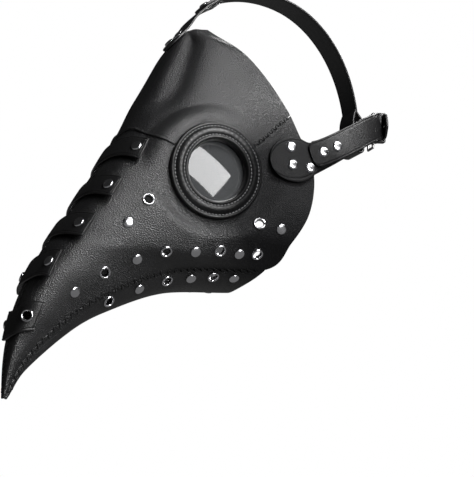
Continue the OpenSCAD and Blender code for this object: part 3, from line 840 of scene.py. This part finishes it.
def side_tab(side):
    word = SIDES[side]
    near_end = [0, 0.0003, 0.0012, 0.003, 0.006, 0.01, 0.016, 0.024]
    s = TAB_END * np.concatenate([near_end, np.linspace(0.035, 1, 90)])
    d = s * 17.5   # about the mm from the tab's tip
    disc = chord(np.minimum(d, 2 * PADDLE_R), PADDLE_R)
    gap = disc - HALF_W
    neck = HALF_W + 0.5 * (gap + np.sqrt(gap * gap + 9))
    halves = np.where(d < PADDLE_R, disc, neck)
    halves = np.where(d > 2 * PADDLE_R, HALF_W + 1.2 * np.exp(-(d - 2 * PADDLE_R) / 6), halves)
    part = strap(route_frames(SIDE, s), np.maximum(halves, 0.6), FIT, cut_ends=True)
    piece("temple_tab_" + word, on_side(part, side), [STRAP], "strap_leather", "side_tab_" + word)
    axis = route_frames(SIDE, 1.3)[1]   # the three rivets are parallel
    parts = []
    for y, z in TAB_RIVETS:
        centre, out, across = route_frames(SIDE, (y - SIDE[0][1]) / SIDE_PITCH)
        place = centre + out * (FIT + STRAP_T + CAP_SEAT) + across * (z - centre[2]) / across[2]
        parts.append(on_side(stand(rivet(LEATHER + STRAP_T + 2 * FIT), place, axis), side))
    fixings("temple_caps_" + word, parts, "side_tab_rivets_" + word)


def back_places(route, count):
    """Places along a back strap's route, close together by its start."""
    last = len(route) - 1
    return STRAP_START + (last - STRAP_START) * np.concatenate([NEAR_START, np.linspace(0.12, 1, count)])


def back_halves(s):
    """Half widths of a back strap. Where it starts, its route's points are about 20 mm apart."""
    return cornered((s - STRAP_START) * 20, 7.0)


def profile_strap(top, under, half):
    """Strap whose side outline in the buckle's frame is given by matching top and under lines."""
    across = across_strap(EDGE_STEPS, 0.85)
    sink = rounded((1 - np.abs(across)) * HALF_W)
    shapes = []
    for line, step in ((top, -sink), (under, 0.6 * sink)):
        points = np.zeros((len(line), len(across), 3))
        points[..., 0] = line[:, 0:1]
        points[..., 1] = across * np.reshape(half, (-1, 1))
        points[..., 2] = line[:, 1:2] + step
        shapes.append(points)
    return buckle_place(grid_shell(*shapes))


def bent_line(points, steps):
    """Smooth line through given side-view points."""
    points = np.array(points, float)
    return along(points, np.linspace(0, len(points) - 1, steps))


def offset_line(line, distance):
    """A side-view line moved sideways, to the left of its run."""
    run = unit(np.gradient(line, axis=0))
    return line + np.column_stack([-run[:, 1], run[:, 0]]) * distance


def back_strap_left():
    s = back_places(LEFT, 60)
    ribbon = strap(route_frames(LEFT, s), back_halves(s), STRAP_H)
    x = np.linspace(-BUCKLE_RUN - 1, 0, 30)
    swell = STRAP_T / 2 + (FOLD_R - STRAP_T / 2) * smooth((x + BUCKLE_RUN + 1) / 7)
    arc = np.radians(np.linspace(0, 90, 12))[1:]
    nose = FOLD_R * np.column_stack([np.sin(arc), np.cos(arc)])
    top = np.vstack([np.column_stack([x, swell]), nose])
    fold = profile_strap(top, top * np.array([1, -1]), HALF_W)
    points, faces = plug(1.3, 28)
    bore = points[:, [0, 2, 1]] * np.array([1, -1, 1]), faces
    notch = prism([(-4, -3), (12, -3), (12, 3), (-4, 3)], 10)
    piece("back_leather_left", join_parts([ribbon, fold]), [STRAP], "strap_leather", "back_strap_left",
          cuts=[[buckle_place(bore)], [buckle_place(notch)]])


def back_strap_right():
    s = back_places(RIGHT, 90)
    centres, outs, acrosses = route_frames(RIGHT, s)
    drop = -TAIL_LOW - STRAP_T / 2
    centres = centres - outs * (drop * smooth((s - len(RIGHT) + 3) / 1.6))[:, None]
    ribbon = on_side(strap((centres, outs, acrosses), back_halves(s), STRAP_H), -1)
    mid = bent_line([[BUCKLE_RUN + 1, TAIL_LOW + 1], [RIM_X + 2, TAIL_LOW + 1], [RIM_X - 4, TAIL_LOW + 1.1],
                     [RIM_X / 2, 1.2], [4, OVER_FOLD + 1], [-4, OVER_FOLD + 1], [-18, OVER_FOLD + 1],
                     [-32, OVER_FOLD + 1], [TAIL_END, OVER_FOLD + 1]], 110)
    nose = smooth((mid[:, 0] - TAIL_END) / 10) ** 0.5
    end_sink = rounded(np.abs(mid[:, 0] - TAIL_END))[:, None] * np.array([[0, 1]])
    top = offset_line(mid, -STRAP_T / 2) - end_sink
    under = offset_line(mid, STRAP_T / 2) + end_sink * 0.6
    tail = profile_strap(top, under, (HALF_W - 0.5) * np.clip(nose, 0.12, 1))
    cuts = [[buckle_place(prong_slot())]]
    for x in (-8.5, -34.0):
        points, faces = plug(1.9, 12, 28)
        cuts.append([buckle_place((points + np.array([x, 0, OVER_FOLD + 1]), faces))])
    piece("back_leather_right", join_parts([ribbon, tail]), [STRAP], "strap_leather", "back_strap_right",
          cuts=cuts)


def prong_slot():
    """The long hole with round ends that the prong stands in."""
    start, end, radius = 5.2, 15.8, 2.2
    turn = np.radians(np.linspace(-90, 90, 12))
    outline = ([(end + radius * math.cos(a), radius * math.sin(a)) for a in turn]
               + [(start - radius * math.cos(a), -radius * math.sin(a)) for a in turn])
    return prism(outline, 15)


def back_strap_caps():
    for side, word in SIDES.items():
        parts = []
        for s in (2.65, 3.3):
            centre, out, _ = route_frames(SIDE, s)
            part = on_strap(rivet(STRAP_H + STRAP_T - FIT), centre, out, STRAP_H + STRAP_T)
            parts.append(on_side(part, side))
        fixings("strap_caps_" + word, parts, "back_strap_rivets_" + word)


def strap_keeper():
    """Leather loop with rounded corners round both layers of strap."""
    wall, half_x, mid_x = 1.6, 4.5, -19
    high, low = OVER_FOLD + STRAP_T + FIT, -FOLD_R - FIT
    half_y, half_z, mid_z = HALF_W + FIT, (high - low) / 2, (high + low) / 2
    corners, turned = [], []
    for y, z, start in ((1, 1, 0), (-1, 1, 90), (-1, -1, 180), (1, -1, 270)):
        for a in np.radians(np.linspace(start, start + 90, 8)):
            corners.append((y * half_y, mid_z + z * half_z))
            turned.append((math.cos(a), math.sin(a)))
    corners, turned = np.array(corners), np.array(turned)
    places = np.concatenate([-1 + EDGE_STEPS / half_x, [-0.4, 0, 0.4], 1 - EDGE_STEPS[::-1] / half_x])
    rings = []
    for x in half_x * places:
        grow = wall - rounded(half_x - abs(x), 0.5)
        rings.append(np.column_stack([np.full(len(corners), mid_x + x), corners + grow * turned]))
    for x in half_x * places[::-1]:
        rings.append(np.column_stack([np.full(len(corners), mid_x + x), corners]))
    part = buckle_place((np.vstack(rings), tube_faces(len(rings), len(corners), "joined")))
    piece("keeper_leather", part, [STRAP], "strap_leather", "strap_keeper", body="keeper")


CROWN_MID = (85.0, 98.0)   # y and z of the middle of the ellipse that the crown strap follows
CROWN_SPAN = (102.0, 106.0)   # its half axes
LOOP_X = -12.0   # the strap drifts to the right behind the head, clear of the buckle
TAB_FOOT = 0.95   # v where the crown tab's round end lies
CROWN_RIVETS = ((0.12, 0), (0.5, -8), (0.5, 8))   # v, and mm to the right of the middle


def crown_frames(angle):
    """Centre, outward and across directions of the crown strap. angle is in degrees round its
    ellipse, from the brow over the top of the head."""
    def route(a):
        r = np.radians(a)
        return np.stack([LOOP_X * smooth((a - 100) / 75), CROWN_MID[0] - CROWN_SPAN[0] * np.cos(r),
                         CROWN_MID[1] + CROWN_SPAN[1] * np.sin(r)], -1)

    angle = np.asarray(angle, float)
    run = unit(route(angle + 1) - route(angle - 1))
    out = unit(np.cross([1.0, 0, 0], run))
    return route(angle), out, np.cross(out, run)


def tab_frames(v):
    """The same for the crown tab's foot, which lies on the middle of the brow."""
    return over(v, 0), skin_normal(v, 0), np.broadcast_to([-1.0, 0, 0], np.shape(v) + (3,))


def crown_tab():
    half = CROWN_W / 2
    rib_gap = 33   # mm of strap taken for one step of v
    d = np.concatenate([[0, 0.01, 0.04, 0.1, 0.2, 0.35], np.linspace(0.6, TAB_FOOT * rib_gap, 34)])
    foot = tab_frames(TAB_FOOT - d / rib_gap)
    rise = crown_frames(np.linspace(38, 62, 16))
    frames = [np.concatenate([a, b]) for a, b in zip(foot, rise)]
    foot_half = np.maximum(chord(np.minimum(d, half), half), math.sqrt(0.6))
    part = strap(frames, np.concatenate([foot_half, np.full(16, half)]), FIT, cut_ends=True)
    piece("crown_tab_leather", part, [STRAP], "strap_leather", "crown_tab")
    parts = []
    for v, x in CROWN_RIVETS:
        centre, out, across = tab_frames(v)
        place = centre + across * x
        parts.append(on_strap(rivet(LEATHER + STRAP_T + FIT), place, out, FIT + STRAP_T))
    fixings("crown_tab_caps", parts, "crown_tab_rivets")


def crown_strap():
    """The strap over the head, and the loop at its end that the back straps run through."""
    start, mm_per_degree = 48, 1.8
    angles = np.linspace(start, 172, 110)
    ribbon = strap(crown_frames(angles), cornered((angles - start) * mm_per_degree, 5.0), STRAP_H)
    line = bent_line([[190, 113], [196.8, 104], [197, 96], [197, 80], [196, 73.5], [191.2, 72],
                      [186.5, 73.5], [185.5, 80], [185.5, 96], [186.0, 106], [188.6, 115]], 120)
    top, under = offset_line(line, STRAP_T / 2), offset_line(line, -STRAP_T / 2)
    middle = (top + under) / 2
    across = across_strap(EDGE_STEPS, 0.85)
    sink = rounded((1 - np.abs(across)) * HALF_W)
    shells = []
    for face, amount in ((top, 1.0), (under, 0.6)):
        yz = face[:, None, :] + (middle - face)[:, None, :] * (sink * amount)[None, :, None]
        x = LOOP_X - across * HALF_W
        shells.append(np.concatenate([np.broadcast_to(x, yz.shape[:2])[..., None], yz], -1))
    part = join_parts([ribbon, grid_shell(*shells)])
    piece("crown_strap_leather", part, [STRAP], "strap_leather", "crown_strap")
    parts = []
    for angle in (52, 59):
        centre, out, _ = crown_frames(angle)
        parts.append(on_strap(rivet(STRAP_H + STRAP_T - FIT), centre, out, STRAP_H + STRAP_T))
    fixings("crown_strap_caps", parts, "crown_strap_rivets")


# ---- Sewing ----
def jaw_seam_stitches():
    v = np.linspace(CORNER + 0.05, LAST - 0.12, 400)
    outs = unit(skin_normal(v, 0.99) + gusset(v, 0.95, 1.0) - gusset(v, 0.95))
    inset = 2.2 / np.maximum(along(RIBS, v)[:, 6], 2.0)
    rows = over(v, 0.976, 0.1), gusset(v, 1 - inset, 0.15)
    part = join_parts(zigzag(*rows, outs, pitch=3.2, radius=0.72))
    for side, word in SIDES.items():
        piece("jaw_stitches_" + word, on_side(part, side), [THREAD], "panel_leather")


def ridge_stitches():
    v = np.linspace(3.05, LAST - 0.12, 420)
    wide = 1.5 / np.maximum(3 * along(RIBS, v)[:, 2], 5)
    rows = over(v, wide, 0.1), over(v, -wide, 0.1)
    part = join_parts(zigzag(*rows, skin_normal(v, 0), pitch=3.0, radius=0.42))
    piece("ridge_stitches", part, [THREAD], "panel_leather")


def clear_runs(path):
    """Index ranges of a path over the brow that stay clear of the eye rings."""
    clear = np.hypot(path[:, 1], path[:, 2]) > RING_R + 0.8
    edges = np.flatnonzero(np.diff(np.concatenate([[0], clear.astype(int), [0]])))
    return [(a, b) for a, b in zip(edges[::2], edges[1::2]) if b - a > 12]


def piping(path, outs, radius):
    """Tube along a path, a little sunk into the leather, with closed ends."""
    sides = 10
    across = unit(np.cross(unit(np.gradient(path, axis=0)), outs))
    swell = radius * (1 + 0.06 * np.sin(np.arange(len(path)) * 0.9))
    turn = np.linspace(0, 2 * np.pi, sides, endpoint=False)[None, :, None]
    ring = across[:, None, :] * np.cos(turn) + outs[:, None, :] * np.sin(turn)
    points = (path[:, None, :] + swell[:, None, None] * ring).reshape(-1, 3)
    return points, tube_faces(len(path), sides)


def brow_sewing():
    """A turned edge across the brow, and a laced seam from each eye ring to the temple."""
    t = np.linspace(-0.62, 0.62, 500)
    path = over(brow_seam(t), t, 0.25)
    outs = skin_normal(brow_seam(t), t)
    rolls = [piping(path[a:b], outs[a:b], 1.15) for a, b in clear_runs(path)]
    piece("brow_piping", join_parts(rolls), [PANEL], "panel_leather")
    parts = []
    t = np.linspace(0.72, 0.985, 300)
    for side in SIDES:
        seam = over(brow_seam(t), t * side)
        for a, b in clear_runs(seam):
            outs = skin_normal(brow_seam(t[a:b]), t[a:b] * side)
            sideways = unit(np.cross(np.gradient(seam[a:b], axis=0), outs)) * 1.8
            on_top = seam[a:b] + outs * 0.2
            parts += zigzag(on_top + sideways, on_top - sideways, outs, pitch=2.8, radius=0.7)
    piece("temple_lacing", join_parts(parts), [THREAD], "panel_leather")


def seam_tapes():
    """Knitted tape on the inside of the brow and ridge seams."""
    t = np.linspace(-0.99, 0.99, 160)[None, :]
    v = brow_seam(t) + np.linspace(-0.13, 0.13, 5)[:, None]
    part = grid_shell(over(v, t, -LEATHER + 0.15), over(v, t, -LEATHER - 0.35))
    piece("brow_tape", part, [LINING], "panel_leather", cuts=[[eye_hole(1), eye_hole(-1)]])
    v = np.linspace(3.0, LAST - 0.6, 160)[:, None]
    x = np.linspace(-1, 1, 5)[None, :]
    t = x * 4.0 / (3 * along(RIBS, v[:, 0])[:, 2:3])
    part = grid_shell(over(v, t, 0.15 - skived(v)), over(v, t, -0.35 - skived(v)))
    piece("ridge_tape", part, [LINING], "panel_leather")


# ---- Build ----
forehead_panel()
beak_gusset()
for side in SIDES:
    side_panel(side)
    eye_ring(side)
    lens(side)
    side_tab(side)
panel_hardware()
bridge_straps()
back_strap_left()
back_strap_right()
back_strap_caps()
strap_keeper()
crown_tab()
crown_strap()
jaw_seam_stitches()
ridge_stitches()
brow_sewing()
seam_tapes()
for name, material in (("lens_retainer_left", PLASTIC), ("lens_retainer_right", PLASTIC),
                       ("buckle_frame", NICKEL), ("buckle_prong", NICKEL)):
    kept = NODES[name]
    kept.data.materials.clear()
    kept.data.materials.append(material)


# ---- Stage ----
def toward(azimuth, elevation):
    """Direction from the mask, in degrees round from straight ahead and up."""
    turn, rise = math.radians(azimuth), math.radians(elevation)
    return Vector((math.sin(turn) * math.cos(rise), -math.cos(turn) * math.cos(rise), math.sin(rise)))


def camera():
    """A long lens, to the front left of the mask and a little below its middle."""
    aim, distance = Vector((0.0369, 0.0334, -0.0498)), 1.268
    data = bpy.data.cameras.new("camera")
    data.lens = 110
    data.sensor_width = 36
    data.clip_start = 0.05
    obj = bpy.data.objects.new("camera", data)
    bpy.context.collection.objects.link(obj)
    obj.location = aim + toward(60, -17) * distance
    obj.rotation_euler = toward(60, -17).to_track_quat("Z", "Y").to_euler()
    bpy.context.scene.camera = obj


def soft_light(name, azimuth, elevation, size, power, roll=0):
    """Area light 1.6 m away that faces the mask."""
    data = bpy.data.lights.new(name, "AREA")
    data.shape = "RECTANGLE"
    data.size, data.size_y = size
    data.energy = power
    obj = bpy.data.objects.new(name, data)
    bpy.context.collection.objects.link(obj)
    obj.location = toward(azimuth, elevation) * 1.6
    facing = toward(azimuth, elevation).to_track_quat("Z", "Y").to_matrix()
    obj.rotation_euler = (facing @ Matrix.Rotation(math.radians(roll), 3, "Z")).to_euler()


def surroundings():
    """World and floor: white to the eye, dim to the object, so that black leather stays black."""
    world = bpy.data.worlds.new("studio")
    world.use_nodes = True
    tree = world.node_tree
    background = tree.nodes["Background"]
    direction = node(tree, "SeparateXYZ")
    tree.links.new(node(tree, "TexCoord").outputs["Generated"], direction.inputs[0])
    bounce = ramp(tree, direction.outputs["Z"], 0.22, 0.025, (-0.25, 0.1))
    strength = node(tree, "Mix", B=1.0)
    tree.links.new(node(tree, "LightPath").outputs["Is Camera Ray"], strength.inputs["Factor"])
    tree.links.new(bounce, strength.inputs["A"])
    tree.links.new(strength.outputs["Result"], background.inputs["Strength"])
    background.inputs["Color"].default_value = (1, 1, 1, 1)
    bpy.context.scene.world = world
    material, _, shader = new_material("floor_paper")
    shader.inputs["Base Color"].default_value = (0.82, 0.82, 0.82, 1)
    shader.inputs["Roughness"].default_value = 0.8
    shader.inputs["Emission Color"].default_value = (1, 1, 1, 1)
    shader.inputs["Emission Strength"].default_value = 0.85
    low = -0.6
    mesh = bpy.data.meshes.new("floor")
    mesh.from_pydata([(-6, -6, low), (6, -6, low), (6, 6, low), (-6, 6, low)], [], [[0, 1, 2, 3]])
    mesh.materials.append(material)
    floor = bpy.data.objects.new("floor", mesh)
    bpy.context.collection.objects.link(floor)
    floor.visible_glossy = False
    floor.visible_diffuse = False


camera()
soft_light("window", 95, 5, (1.0, 0.6), 23, roll=-35)
soft_light("key", 102, 38, (0.55, 0.5), 36)
soft_light("top", 140, 45, (0.7, 0.7), 7)
soft_light("rim", 215, 35, (0.8, 0.8), 24)
surroundings()
bpy.context.scene.view_settings.view_transform = "Standard"
